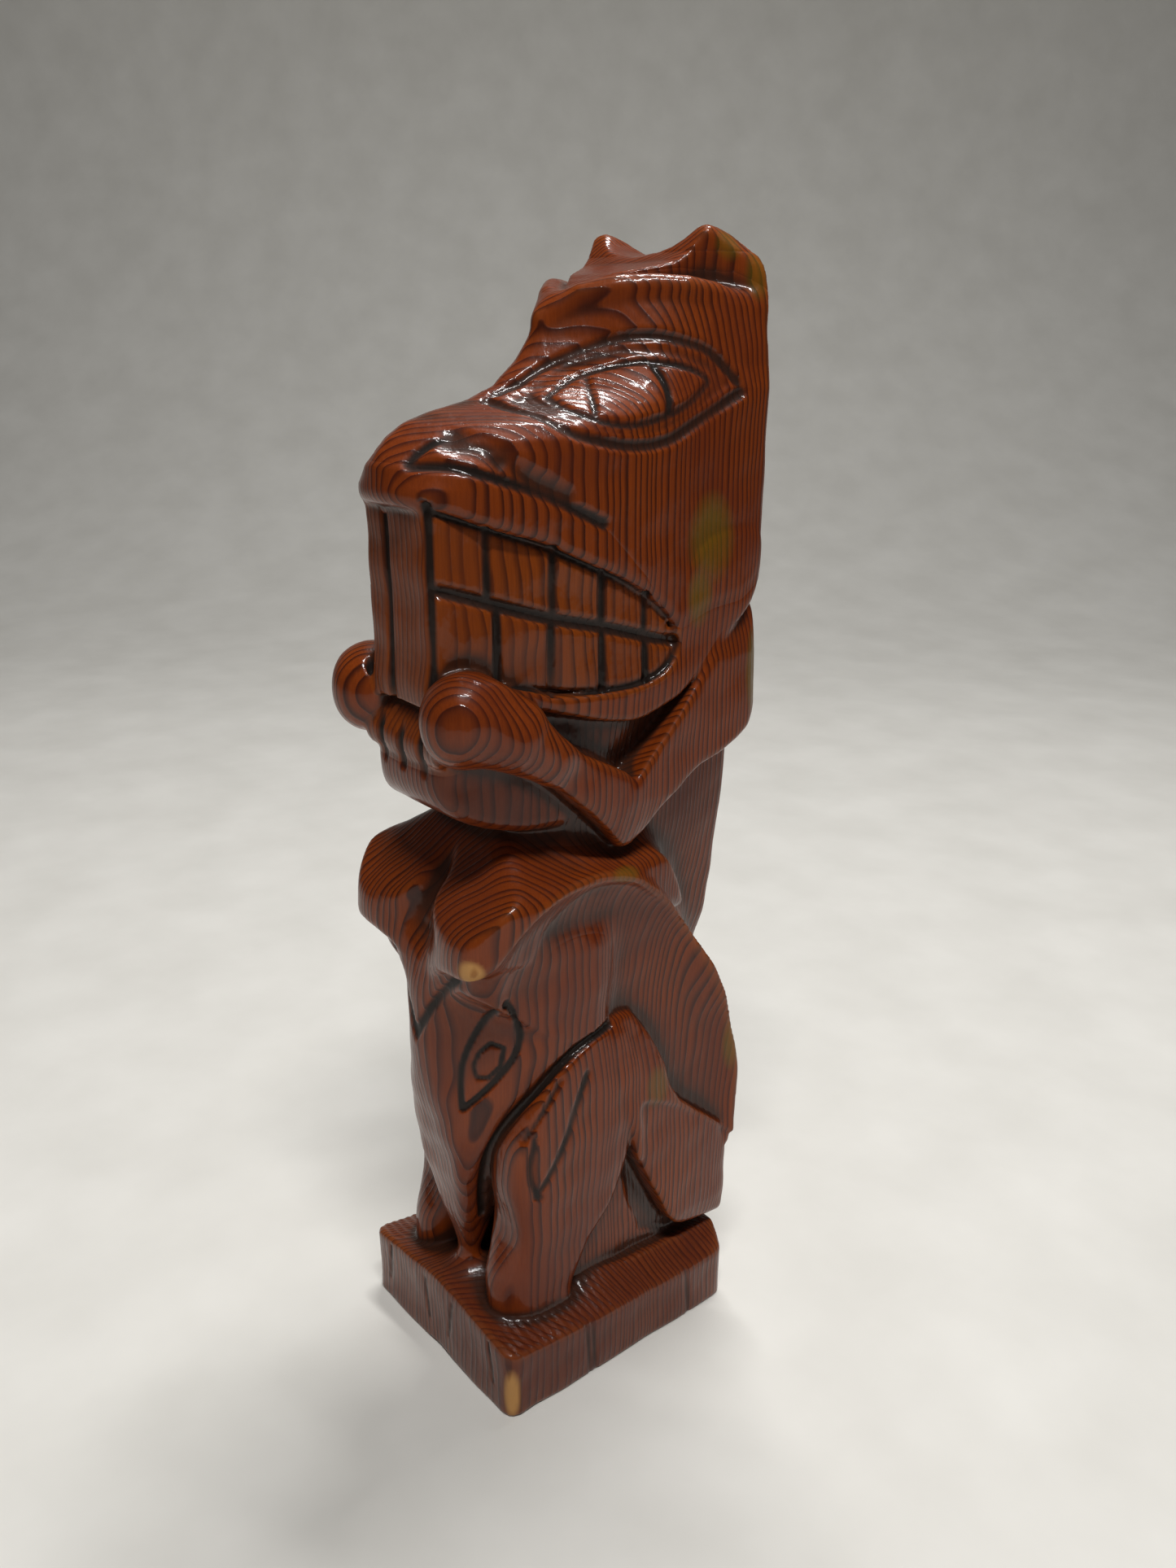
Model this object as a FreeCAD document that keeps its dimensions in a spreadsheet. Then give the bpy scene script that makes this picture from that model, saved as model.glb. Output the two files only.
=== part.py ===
import FreeCAD, Part
import os
import Sketcher

# A totem-style carving: a toothed beast's head, held by its own two fists, above a crouching
# beaked creature on a square base. Millimetres. +Z is up, the figure faces -Y, its left side
# is +X, and the origin is the centre of the base's underside. Heights (z) and depths (y) that
# several pieces share are cells of the sheet; an outline point is a cell plus an offset.

SIZES = {
    # base
    "base_half_width": 23.0,
    "base_half_depth": 26.5,
    "base_height": 12.5,
    "base_corner": 3.0,
    # planes that pieces share, seen from the front
    "core_half": 13.0,
    "flank_half": 20.5,
    "outer_half": 22.5,
    "beak_half": 8.0,
    "cleft_half": 0.5,
    "snout_half": 12.0,
    "head_half": 20.5,
    # planes that pieces share, seen from the side
    "front": -28.5,
    "back": 28.5,
    "mask_front": -30.0,
    "mask_back": -10.0,
    "bridge_depth": -8.0,
    "throat_depth": 3.0,
    # levels, from the base up
    "haunch_level": 34.0,
    "beak_tip": 17.0,
    "beak_root": 54.0,
    "knee_level": 69.0,
    "mask_top": 84.0,
    "lobe_level": 90.0,
    "neck_level": 99.0,
    "elbow_level": 101.0,
    "jaw_level": 107.0,
    "cheek_level": 121.0,
    "small_teeth_low": 114.5,
    "small_teeth_high": 121.0,
    "teeth_low": 126.0,
    "fist_level": 128.0,
    "fist_radius": 6.6,
    "mouth_corner": 136.0,
    "lip_level": 158.0,
    "snout_top": 171.5,
    "eye_level": 173.0,
    "crown_level": 185.0,
    "ear_tip": 198.0,
    # limits of the sawing block
    "ground": 0.0,
    "sky": 210.0,
    "reach": 60.0,
}

doc = FreeCAD.newDocument("carved_figure")
sheet = doc.addObject("Spreadsheet::Sheet", "Sizes")
for row, (alias, size) in enumerate(SIZES.items(), start=1):
    sheet.set(f"A{row}", alias)
    sheet.set(f"B{row}", str(size))
    sheet.setAlias(f"B{row}", alias)
doc.recompute()

nodes = []


def amount(place):
    """The number that a place such as "front+3" or "-core_half" stands for."""
    sign = -1 if place.startswith("-") else 1
    alias, step = place.lstrip("-"), 0.0
    for mark in "+-":
        if mark in alias:
            alias, offset = alias.split(mark)
            step = float(mark + offset)
    return sign * SIZES[alias] + step


def formula(place):
    """The sheet expression for the same place."""
    return "-Sizes." + place[1:] if place.startswith("-") else "Sizes." + place


def hold(sketch, geometry, corner, across, up):
    """Ties one sketch point to two places of the sheet."""
    for kind, place in (("DistanceX", across), ("DistanceY", up)):
        index = sketch.addConstraint(
            Sketcher.Constraint(kind, -1, 1, geometry, corner, amount(place))
        )
        sketch.setExpression(f"Constraints[{index}]", formula(place))


def add_outline(sketch, points):
    """A closed outline. A point with a third entry is one that an arc passes through."""
    spots = [FreeCAD.Vector(amount(p[0]), amount(p[1]), 0) for p in points]
    corners = [i for i, p in enumerate(points) if len(p) == 2]
    pieces = []
    for k, start in enumerate(corners):
        end = corners[(k + 1) % len(corners)]
        if (end - start) % len(points) == 1:
            pieces.append(sketch.addGeometry(Part.LineSegment(spots[start], spots[end])))
            continue
        middle = (start + 1) % len(points)
        arc = Part.Arc(spots[start], spots[middle], spots[end])
        pieces.append(sketch.addGeometry(arc))
        marker = sketch.addGeometry(Part.Point(spots[middle]), True)
        hold(sketch, marker, 1, *points[middle][:2])
        sketch.addConstraint(Sketcher.Constraint("PointOnObject", marker, 1, pieces[-1]))
    ends = [nearest_ends(sketch, piece, spots[corners[k]]) for k, piece in enumerate(pieces)]
    for k, piece in enumerate(pieces):
        after = (k + 1) % len(pieces)
        sketch.addConstraint(
            Sketcher.Constraint("Coincident", piece, ends[k][1], pieces[after], ends[after][0])
        )
        hold(sketch, piece, ends[k][0], *points[corners[k]])


def nearest_ends(sketch, piece, start):
    """Which end (1 or 2) of a segment lies at its start corner, and which at its end."""
    forward = sketch.getPoint(piece, 1).distanceToPoint(start) < 1e-6
    return (1, 2) if forward else (2, 1)


def mirrored(place):
    """The same distance on the other side of the middle plane."""
    alias = place.lstrip("-").translate(str.maketrans("+-", "-+"))
    return alias if place.startswith("-") else "-" + alias


def both_sides(half):
    """A symmetric outline from the places of its +X half, listed from one end to the other."""
    return half + [(mirrored(p[0]), *p[1:]) for p in reversed(half)]


def padded(name, plane, points, first, last):
    """A body sawn from a board: an outline on an origin plane, from first to last across it."""
    body = doc.addObject("PartDesign::Body", name)
    sketch = body.newObject("Sketcher::SketchObject", name + "_outline")
    planes = {feature.Role: feature for feature in body.Origin.OriginFeatures}
    sketch.AttachmentSupport = [(planes[plane], "")]
    sketch.MapMode = "FlatFace"
    sketch.setExpression(".AttachmentOffset.Base.z", formula(first))
    add_outline(sketch, points)
    pad = body.newObject("PartDesign::Pad", name + "_pad")
    pad.Profile = sketch
    pad.setExpression("Length", f"{formula(last)} - ({formula(first)})")
    body.Tip = pad
    return body


def sawn(name, side, first, last, front=None, plan=None):
    """A block sawn to a side outline between two x planes, then to a front or plan outline."""
    cuts = [padded(name + "_side", "YZ_Plane", side, first, last)]
    if front:
        cuts.append(padded(name + "_front", "XZ_Plane", front, "-reach", "reach"))
    if plan:
        cuts.append(padded(name + "_plan", "XY_Plane", plan, "ground", "sky"))
    if len(cuts) == 1:
        return cuts[0]
    common = doc.addObject("Part::MultiCommon", name + "_block")
    common.Shapes = cuts
    return common


def without(name, piece, *others):
    """The piece with the space of its neighbours taken out of it."""
    for k, other in enumerate(others):
        cut = doc.addObject("Part::Cut", f"{name}_less_{k + 1}")
        cut.Base = piece
        cut.Tool = other
        piece = cut
    return piece


def node(name, piece):
    """Names a finished sub-part, which is written to a file of that name."""
    piece.Label = name
    nodes.append(piece)
    return piece


def pair(name, piece):
    """The left sub-part as modelled, and the right one mirrored in the middle plane."""
    left = node("left_" + name, piece)
    right = doc.addObject("Part::Mirroring", "right_" + name)
    right.Source = piece
    right.Normal = FreeCAD.Vector(1, 0, 0)
    node("right_" + name, right)
    return left, right


# ---------------------------------------------------------------- base and crouching creature

base_body = padded(
    "base",
    "XY_Plane",
    both_sides([("base_half_width", "-base_half_depth"), ("base_half_width", "base_half_depth")]),
    "ground",
    "base_height",
)
doc.recompute()
base_pad = base_body.Tip
upright = [
    f"Edge{k}"
    for k, edge in enumerate(base_pad.Shape.Edges, start=1)
    if abs(edge.tangentAt(edge.FirstParameter).z) > 0.9
]
base_round = base_body.newObject("PartDesign::Fillet", "base_corners")
base_round.Base = (base_pad, upright)
base_round.setExpression("Radius", "Sizes.base_corner")
base_body.Tip = base_round
base = node("base_plinth", base_body)

torso = node("torso", sawn(
    "torso",
    [
        ("mask_back", "base_height"),
        ("mask_back", "neck_level"),
        ("back-10", "neck_level"),
        ("back-9", "mask_top"),
        ("back-2.5", "knee_level", "via"),
        ("back", "beak_root"),
        ("back", "haunch_level"),
        ("back-1.5", "base_height"),
    ],
    "-core_half",
    "core_half",
))

mask = node("lower_mask", sawn(
    "mask",
    [
        ("mask_back", "knee_level-1"),
        ("mask_front+9", "beak_root+5.5"),
        ("mask_front+1.8", "beak_root"),
        ("mask_front-0.6", "knee_level-3", "via"),
        ("mask_front+0.6", "knee_level+8"),
        ("mask_front+4", "mask_top"),
        ("mask_back", "mask_top"),
    ],
    "-outer_half",
    "outer_half",
    front=both_sides([
        ("beak_half", "beak_root-2"),
        ("beak_half+4", "beak_root+2"),
        ("flank_half-2.5", "knee_level-2"),
        ("flank_half-2", "mask_top"),
    ]),
))

beak = node("beak", sawn(
    "beak",
    [
        ("mask_back", "knee_level-1"),
        ("mask_back", "beak_tip+13"),
        ("front+11", "beak_tip"),
        ("front+8", "beak_tip"),
        ("front+4.5", "beak_root-18", "via"),
        ("mask_front+1.8", "beak_root"),
        ("mask_front+9", "beak_root+5.5"),
    ],
    "-beak_half",
    "beak_half",
    front=both_sides([
        ("beak_half-6", "beak_tip"),
        ("beak_half-0.5", "beak_root-10"),
        ("beak_half", "knee_level"),
    ]),
))

leg_block = sawn(
    "leg",
    [
        ("front+4.5", "base_height"),
        ("front+4.2", "base_height+6"),
        ("front+6.5", "haunch_level+6"),
        ("mask_front+9", "beak_root+5.5"),
        ("mask_back", "knee_level-1"),
        ("mask_back+4", "knee_level+1.2", "via"),
        ("throat_depth", "knee_level-5"),
        ("throat_depth+2.5", "beak_root-6", "via"),
        ("throat_depth", "haunch_level+2"),
        ("bridge_depth+3", "haunch_level-7"),
        ("bridge_depth", "base_height+7"),
        ("bridge_depth", "base_height"),
    ],
    "beak_half",
    "flank_half",
    front=[
        ("beak_half", "base_height"),
        ("beak_half", "knee_level+2"),
        ("flank_half-4", "knee_level+2"),
        ("flank_half", "beak_root-4", "via"),
        ("flank_half-3", "base_height"),
    ],
)
pair("leg", without("leg", leg_block, torso, beak))

haunch_block = sawn(
    "haunch",
    [
        ("throat_depth", "knee_level-5"),
        ("back-10", "beak_root-6.5"),
        ("back-1", "haunch_level"),
        ("back+0.4", "haunch_level-8", "via"),
        ("back-1.5", "base_height+2.5"),
        ("back-4", "base_height"),
        ("back-8", "base_height+1.5"),
        ("throat_depth", "haunch_level+2"),
        ("throat_depth+2.5", "beak_root-6", "via"),
    ],
    "core_half",
    "flank_half",
    plan=[
        ("core_half", "throat_depth-4"),
        ("flank_half", "throat_depth-4"),
        ("flank_half", "back-7"),
        ("flank_half-2", "back-1.5", "via"),
        ("core_half", "back+1"),
    ],
)
pair("haunch", haunch_block)

wing_block = sawn(
    "wing",
    [
        ("mask_back", "knee_level-1"),
        ("mask_back", "neck_level-2"),
        ("throat_depth+1.5", "neck_level-2"),
        ("back-4", "mask_top-10", "via"),
        ("back", "beak_root"),
        ("back", "haunch_level"),
        ("back-1", "haunch_level"),
        ("back-10", "beak_root-6.5"),
        ("throat_depth", "knee_level-5"),
        ("mask_back+4", "knee_level+1.2", "via"),
    ],
    "core_half",
    "flank_half+0.5",
    plan=[
        ("core_half", "mask_back-1"),
        ("flank_half+0.5", "mask_back-1"),
        ("flank_half+0.5", "back-9"),
        ("flank_half-2", "back-2", "via"),
        ("core_half", "back+1"),
    ],
)
pair("wing", wing_block)

# ---------------------------------------------------------------- neck, jaw and arms

neck = node("neck", sawn(
    "neck",
    [
        ("mask_back-3", "neck_level"),
        ("front+8.5", "jaw_level"),
        ("throat_depth+2", "jaw_level"),
        ("back", "cheek_level"),
        ("back-3.5", "jaw_level+4", "via"),
        ("back-10", "neck_level"),
    ],
    "-core_half+1",
    "core_half-1",
))

lobe_block = sawn(
    "lobe",
    [
        ("mask_back", "mask_top"),
        ("front+4.5", "mask_top+2"),
        ("front", "lobe_level-1.5"),
        ("front+0.5", "lobe_level+2"),
        ("mask_back-7", "neck_level+1.5", "via"),
        ("bridge_depth+2", "jaw_level-1.5"),
        ("throat_depth+2", "jaw_level-3", "via"),
        ("throat_depth+7", "lobe_level+3"),
        ("throat_depth+1.5", "neck_level-2"),
        ("mask_back", "neck_level-2"),
    ],
    "cleft_half",
    "outer_half",
    front=[
        ("cleft_half", "mask_top"),
        ("core_half", "mask_top+1"),
        ("outer_half", "lobe_level-1"),
        ("outer_half", "lobe_level+3"),
        ("core_half+5", "neck_level+3", "via"),
        ("core_half-2", "jaw_level"),
        ("cleft_half", "neck_level"),
    ],
)
lobes = pair("lobe", without("lobe", lobe_block, torso, neck, wing_block))

jaw = node("lower_jaw", sawn(
    "jaw",
    [
        ("front+8.5", "jaw_level"),
        ("front+2.5", "jaw_level+3", "via"),
        ("front+0.2", "small_teeth_low"),
        ("front+2.5", "small_teeth_low"),
        ("front+2.5", "teeth_low"),
        ("front+5.5", "teeth_low+1"),
        ("front+15", "teeth_low+5", "via"),
        ("throat_depth+5.7", "mouth_corner-5.3"),
        ("throat_depth+7.7", "mouth_corner"),
        ("back", "mouth_corner+9"),
        ("back", "cheek_level"),
        ("throat_depth+2", "jaw_level"),
    ],
    "-head_half",
    "head_half",
    plan=both_sides([
        ("snout_half-1", "front-4"),
        ("snout_half-1", "front"),
        ("core_half+3", "throat_depth"),
        ("core_half+4", "back+2"),
    ]),
))

small_teeth = node("small_front_teeth", sawn(
    "small_teeth",
    [
        ("front", "small_teeth_low"),
        ("front", "small_teeth_high"),
        ("front+2.5", "small_teeth_high"),
        ("front+2.5", "small_teeth_low"),
    ],
    "-snout_half+2",
    "snout_half-2",
))

upper_arm_side = [
    ("throat_depth-1", "elbow_level"),
    ("throat_depth-1", "elbow_level+15"),
    ("back", "mouth_corner+5"),
    ("back+1.5", "mouth_corner"),
    ("back+1", "cheek_level"),
    ("back-5", "elbow_level+13"),
]
forearm_side = [
    ("throat_depth-1", "elbow_level"),
    ("front+16", "elbow_level+12.5"),
    ("front+4", "fist_level-5"),
    ("front+6", "fist_level+5"),
    ("front+16", "elbow_level+21"),
    ("throat_depth-1", "elbow_level+15"),
]
arm_blocks = [
    sawn(
        name,
        side,
        "core_half-1",
        "flank_half",
        plan=[
            ("core_half-1", "front-1"),
            ("flank_half-3", "front-1"),
            ("flank_half", "mask_back"),
            ("flank_half", "back-4"),
            ("flank_half-3", "back+2"),
            ("core_half-1", "back+2"),
        ],
    )
    for name, side in (("upper_arm", upper_arm_side), ("forearm", forearm_side))
]
fist_ball = doc.addObject("Part::Sphere", "fist_ball")
fist_ball.setExpression("Radius", "Sizes.fist_radius")
fist_ball.setExpression(".Placement.Base.x", "Sizes.core_half + 0.5")
fist_ball.setExpression(".Placement.Base.y", "Sizes.front + 3")
fist_ball.setExpression(".Placement.Base.z", "Sizes.fist_level")

# ---------------------------------------------------------------- teeth and head

head_plan = both_sides([
    ("snout_half", "front-4"),
    ("snout_half", "front"),
    ("head_half", "throat_depth-3"),
    ("head_half", "back-5"),
    ("head_half-4", "back+2"),
])
teeth_plan = both_sides([
    ("snout_half-0.8", "front-4"),
    ("snout_half-0.8", "front"),
    ("head_half-0.8", "throat_depth-3"),
    ("head_half-0.8", "back-5"),
])
lip_line = [
    ("front", "lip_level"),
    ("front+9.5", "lip_level-4.5"),
    ("front+24", "lip_level-10"),
    ("throat_depth+1.8", "mouth_corner+6"),
    ("throat_depth+7.7", "mouth_corner"),
]
upper_teeth = node("upper_teeth", sawn(
    "upper_teeth",
    lip_line + [
        ("throat_depth+4.6", "mouth_corner+1.2"),
        ("front+5.5", "mouth_corner+9"),
        ("front+5.5", "teeth_low+1"),
        ("front+2.5", "teeth_low"),
        ("front+0.3", "teeth_low"),
    ],
    "-head_half",
    "head_half",
    plan=teeth_plan,
))
lower_teeth = node("lower_teeth", sawn(
    "lower_teeth",
    [
        ("front+5.5", "mouth_corner+9"),
        ("throat_depth+4.6", "mouth_corner+1.2"),
        ("throat_depth+7.7", "mouth_corner"),
        ("throat_depth+5.7", "mouth_corner-5.3"),
        ("front+15", "teeth_low+5", "via"),
        ("front+5.5", "teeth_low+1"),
    ],
    "-head_half",
    "head_half",
    plan=teeth_plan,
))

fist = without("fist", fist_ball, jaw, upper_teeth, lower_teeth)
pair("fist", fist)
upper_arm, forearm = arm_blocks
pair("upper_arm", without("upper_arm", upper_arm, jaw, neck, lobes[0], torso, wing_block))
pair("forearm", without("forearm", forearm, jaw, neck, lobes[0], lower_teeth, upper_teeth, fist_ball))

snout_block = sawn(
    "snout",
    [
        ("bridge_depth", "lip_level-2"),
        ("front-1", "lip_level+6"),
        ("front-2.5", "snout_top-4", "via"),
        ("front+0.5", "snout_top-0.5"),
        ("front+12", "snout_top+1"),
        ("bridge_depth", "snout_top+5.5"),
    ],
    "-head_half",
    "head_half",
    plan=head_plan,
)
snout = node("snout", snout_block)
lip = node("upper_lip", sawn(
    "lip",
    [
        ("front-1", "lip_level"),
        ("front-3", "lip_level+3", "via"),
        ("front-1", "lip_level+6"),
        ("bridge_depth", "lip_level-2"),
        ("bridge_depth", "lip_level-8.67"),
        ("front+9.5", "lip_level-4.5"),
        ("front", "lip_level"),
    ],
    "-head_half",
    "head_half",
    plan=head_plan,
))
head = node("head", sawn(
    "head",
    [
        ("bridge_depth", "lip_level-8.67"),
        ("bridge_depth", "snout_top+5.5"),
        ("throat_depth-4", "crown_level"),
        ("back+1", "crown_level"),
        ("back", "mouth_corner+9"),
        ("throat_depth+7.7", "mouth_corner"),
        ("throat_depth+1.8", "mouth_corner+6"),
        ("front+24", "lip_level-10"),
    ],
    "-head_half",
    "head_half",
    plan=head_plan,
))
node("crown", sawn(
    "crown",
    [
        ("throat_depth-4", "crown_level"),
        ("back-14", "ear_tip-8"),
        ("back-1", "ear_tip-5"),
        ("back+1", "crown_level"),
    ],
    "-head_half",
    "head_half",
    plan=head_plan,
    front=both_sides([
        ("head_half", "crown_level-1"),
        ("head_half-1.5", "crown_level+3.5"),
        ("core_half+1", "ear_tip-5"),
        ("cleft_half", "ear_tip-5.5"),
    ]),
))
ear_block = sawn(
    "ear",
    [
        ("back-14", "ear_tip-8"),
        ("back-6", "ear_tip-0.5"),
        ("back-2", "ear_tip"),
        ("back-1", "ear_tip-5"),
    ],
    "cleft_half",
    "core_half+3",
    front=[
        ("cleft_half+4", "ear_tip-7"),
        ("cleft_half+8", "ear_tip-1", "via"),
        ("core_half+2", "ear_tip-5"),
        ("core_half+2", "ear_tip-7"),
    ],
)
crown = nodes[-1]
pair("ear", without("ear", ear_block, crown))
eye_block = sawn(
    "eye",
    [
        ("front+8.5", "eye_level-0.5"),
        ("throat_depth", "eye_level+8.3", "via"),
        ("back-4", "eye_level+2.4"),
        ("throat_depth", "eye_level-7.2", "via"),
    ],
    "core_half-3",
    "outer_half",
    plan=both_sides([
        ("snout_half+1.6", "front"),
        ("head_half+1.6", "throat_depth-3"),
        ("head_half+1.6", "back-4"),
    ]),
)
pair("eye", without("eye", eye_block, head, snout))

# ---------------------------------------------------------------- check and write

doc.recompute()
for item in doc.Objects:
    if {"Invalid", "Error"} & set(item.State):
        raise RuntimeError(f"{item.Name} is {item.State}")
    if hasattr(item, "Shape") and not item.isDerivedFrom("App::DocumentObjectGroup"):
        if item.TypeId.startswith("App::") or item.TypeId.startswith("Sketcher::"):
            continue
        if item.Shape.isNull() or not item.Shape.isValid():
            raise RuntimeError(f"{item.Name} has no valid shape")

os.makedirs("parts", exist_ok=True)
for piece in nodes:
    piece.Shape.exportStep(f"parts/{piece.Label}.step")
    print(piece.Label, round(piece.Shape.Volume / 1000, 2), len(piece.Shape.Solids))
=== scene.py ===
import math

import bpy
import numpy as np
from mathutils import Matrix, Vector


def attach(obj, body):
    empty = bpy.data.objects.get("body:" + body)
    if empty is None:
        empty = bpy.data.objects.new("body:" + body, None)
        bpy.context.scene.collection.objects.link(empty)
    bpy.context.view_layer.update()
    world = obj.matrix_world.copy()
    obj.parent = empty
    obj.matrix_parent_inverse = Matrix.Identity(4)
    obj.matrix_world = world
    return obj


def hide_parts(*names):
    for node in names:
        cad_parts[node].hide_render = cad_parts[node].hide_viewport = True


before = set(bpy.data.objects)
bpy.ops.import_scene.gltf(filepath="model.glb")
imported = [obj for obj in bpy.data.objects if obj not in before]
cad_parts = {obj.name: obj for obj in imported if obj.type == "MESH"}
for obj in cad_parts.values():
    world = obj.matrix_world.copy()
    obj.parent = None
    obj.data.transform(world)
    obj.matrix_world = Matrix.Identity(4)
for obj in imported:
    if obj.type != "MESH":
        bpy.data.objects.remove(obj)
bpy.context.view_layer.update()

# The carving is sculpted as a distance field on a grid of one half (x > 0), in millimetres, and
# mirrored. An outline is a closed list of points in one plane: "side" is (y, z), "front" is
# (x, z) and "plan" is (x, y). The figure faces -Y, and its left side is +X.

MM = 0.001
STEP = 0.45  # grid spacing
DEPTH_RANGE = (-35.0, 32.0)
HEIGHT_RANGE = (-1.0, 201.0)
HALF_WIDTH = 25.0
SEAM_DIP = 0.35  # how fast a piece sinks under its neighbour past the seam
SEAM_LAP = 0.9  # how far it goes on below the neighbour

xs = np.arange(STEP / 2, HALF_WIDTH, STEP, dtype=np.float32)
ys = np.arange(DEPTH_RANGE[0], DEPTH_RANGE[1], STEP, dtype=np.float32)
zs = np.arange(HEIGHT_RANGE[0], HEIGHT_RANGE[1], STEP, dtype=np.float32)
X, Y, Z = xs[:, None, None], ys[None, :, None], zs[None, None, :]


# ---------------------------------------------------------------- distance-field tools


def softened(points, rounds=2, closed=True):
    """Corners cut off again and again, which turns a few points into a smooth line."""
    line = np.array(points, float)
    for _ in range(rounds):
        after = np.roll(line, -1, axis=0) if closed else line[1:]
        before = line if closed else line[:-1]
        cut = np.stack([0.75 * before + 0.25 * after, 0.25 * before + 0.75 * after], 1)
        cut = cut.reshape(-1, line.shape[1])
        line = cut if closed else np.vstack([line[:1], cut, line[-1:]])
    return line


def to_segments(line, u, v, closed):
    """Distance from each point of a grid (u, v) to a line of straight segments."""
    nearest = np.full(np.broadcast(u, v).shape, 1e9, np.float32)
    ends = np.roll(line, -1, axis=0) if closed else line[1:]
    for (ax, ay), (bx, by) in zip(line, ends):
        dx, dy = bx - ax, by - ay
        along = ((u - ax) * dx + (v - ay) * dy) / max(dx * dx + dy * dy, 1e-9)
        along = np.clip(along, 0, 1)
        gap = (u - ax - along * dx) ** 2 + (v - ay - along * dy) ** 2
        np.minimum(nearest, gap, out=nearest)
    return np.sqrt(nearest)


def area(points, u, v, rounds=2):
    """Signed distance to a closed outline, negative inside."""
    line = softened(points, rounds)
    gap = to_segments(line, u, v, True)
    inside = np.zeros(gap.shape, bool)
    for (ax, ay), (bx, by) in zip(line, np.roll(line, -1, axis=0)):
        if ay == by:
            continue
        crosses = (ay > v) != (by > v)
        inside ^= crosses & (u < (bx - ax) * (v - ay) / (by - ay) + ax)
    return np.where(inside, -gap, gap).astype(np.float32)


def side(points, rounds=2):
    """Signed distance to an outline drawn on the side, the same at every x."""
    return area(points, ys[:, None], zs[None, :], rounds)[None, :, :]


def front(points, rounds=2):
    """Signed distance to an outline drawn on the front, the same at every y."""
    return area(points, xs[:, None], zs[None, :], rounds)[:, None, :]


def plan(points, rounds=2):
    """Signed distance to an outline seen from above, the same at every z."""
    return area(points, xs[:, None], ys[None, :], rounds)[:, :, None]


def side_line(points, rounds=2):
    """Distance from an open line drawn on the side, the same at every x."""
    line = softened(points, rounds, closed=False)
    return to_segments(line, ys[:, None], zs[None, :], False)[None, :, :]


def both(a, b, soft=1.0):
    """What lies inside both shapes, with the edge between them rounded."""
    h = np.maximum(soft - np.abs(a - b), 0) / soft
    return np.maximum(a, b) + h * h * soft * 0.25


def either(a, b, soft=1.0):
    """What lies inside one shape or the other, with a fillet in the corner between them."""
    return -both(-a, -b, soft)


def sawn(side_points, front_points=None, plan_points=None, soft=2.0, rounds=2):
    """A block sawn to its side, front and plan outlines, with its edges rounded."""
    shape = side(side_points, rounds)
    if front_points:
        shape = both(shape, front(front_points, rounds), soft)
    if plan_points:
        shape = both(shape, plan(plan_points, rounds), soft)
    return np.broadcast_to(shape, (len(xs), len(ys), len(zs)))


def loft(levels):
    """A block whose plan outline changes with height, from a dictionary of height to outline."""
    heights = list(levels)
    plans = [plan(outline) for outline in levels.values()]
    field = np.empty((len(xs), len(ys), len(zs)), np.float32)
    for k, z in enumerate(zs):
        above = min(max(int(np.searchsorted(heights, z)), 1), len(heights) - 1)
        low, high = heights[above - 1], heights[above]
        share = min(max((z - low) / (high - low), 0), 1)
        field[:, :, k] = (plans[above - 1] + share * (plans[above] - plans[above - 1]))[:, :, 0]
    slopes = np.gradient(field, STEP)
    steep = np.sqrt(sum(slope**2 for slope in slopes))
    return field / np.maximum(steep, 0.9)


def ball(centre, radii):
    """An ellipsoid with its axes along x, y and z."""
    cx, cy, cz = centre
    rx, ry, rz = radii
    k = np.sqrt(((X - cx) / rx) ** 2 + ((Y - cy) / ry) ** 2 + ((Z - cz) / rz) ** 2)
    return (k - 1) * min(radii)


def rod(start, end, r_start, r_end):
    """A round rod between two points, with a radius at each end."""
    a, b = np.array(start, float), np.array(end, float)
    d = b - a
    along = ((X - a[0]) * d[0] + (Y - a[1]) * d[1] + (Z - a[2]) * d[2]) / (d @ d)
    along = np.clip(along, 0, 1)
    gap = (X - a[0] - along * d[0]) ** 2 + (Y - a[1] - along * d[1]) ** 2
    gap = gap + (Z - a[2] - along * d[2]) ** 2
    return np.sqrt(gap) - (r_start + along * (r_end - r_start))


def chain(points, radii):
    """Rods joined end to end."""
    shape = rod(points[0], points[1], radii[0], radii[1])
    for k in range(1, len(points) - 1):
        shape = np.minimum(shape, rod(points[k], points[k + 1], radii[k], radii[k + 1]))
    return shape


# ---------------------------------------------------------------- the carved elements

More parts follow.
